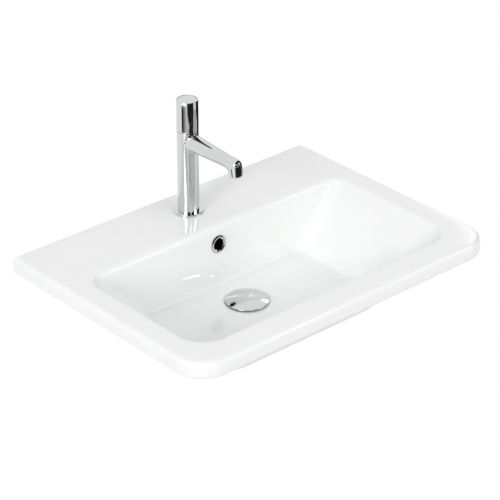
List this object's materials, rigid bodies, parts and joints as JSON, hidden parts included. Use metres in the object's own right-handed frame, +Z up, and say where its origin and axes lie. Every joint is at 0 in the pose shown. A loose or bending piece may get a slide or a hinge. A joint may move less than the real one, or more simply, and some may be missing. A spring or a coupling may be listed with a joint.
{
  "type": "washbasin",
  "caption": "Rectangular glazed ceramic vanity washbasin with a push-button mixer tap, chrome overflow ring and domed push-open waste plug.",
  "frame": {"origin": "on the wall face, midway between the two wall bolts", "axes": "+X to the user's right along the basin's length, +Y into the wall, +Z up"},
  "size_m": [0.6, 0.441, 0.3905],
  "materials": {
    "glazed_ceramic": "white gloss glaze",
    "chrome": "polished chrome plating",
    "brass": "machined brass",
    "steel": "plain steel",
    "rubber": "black rubber",
    "dark_plastic": "dark moulded plastic",
    "white_plastic": "white moulded plastic",
    "disc_ceramic": "lapped ceramic",
    "red": "red enamel dot",
    "blue": "blue enamel dot"
  },
  "bodies": {
    "fixed": {"basin": "glazed_ceramic", "overflow_ring": "chrome", "waste_body": "chrome", "waste_top_seal": "rubber", "waste_bottom_seal": "rubber", "waste_washer": "dark_plastic", "waste_nut": "brass", "click_barrel": "brass", "click_spring": "steel", "tap_body": "chrome", "base_ring": "chrome", "base_seal": "rubber", "tap_shank": "brass", "clamp_pad": "rubber", "clamp_washer": "steel", "clamp_nut": "brass", "hot_inlet": "brass", "cold_inlet": "brass", "port_seals": "rubber", "cartridge_base": "white_plastic", "cartridge_housing": "brass", "fixed_disc": "disc_ceramic", "lock_ring": "brass", "glide_ring": "dark_plastic", "aerator_housing": "chrome", "aerator_insert": "dark_plastic", "aerator_seal": "rubber"},
    "knob": {"temperature_knob": "chrome", "knob_grub_screw": "steel", "hot_mark": "red", "cold_mark": "blue", "temperature_spindle": "brass", "moving_disc": "disc_ceramic", "button_spring": "steel"},
    "button": {"push_button": "chrome", "button_pin": "steel", "flow_valve": "brass"},
    "plug": {"plug_cover": "chrome", "plug_seal": "rubber", "plug_stem": "brass"}
  },
  "joints": [
    {"name": "knob_turn", "type": "hinge", "parent": "fixed", "child": "knob", "pos_m": [0, -0.0637, 0.2271], "axis": [0, 0, 1], "range_deg": [-45, 45]},
    {"name": "button_press", "type": "slide", "parent": "knob", "child": "button", "axis": [0, 0, 1], "range_m": [-0.003, 0], "stiffness_N_per_m": 1500, "springref_m": 0.004, "deforming": ["button_spring"]},
    {"name": "plug_lift", "type": "slide", "parent": "fixed", "child": "plug", "axis": [0, 0, 1], "range_m": [0, 0.009], "deforming": ["click_spring"]}
  ]
}
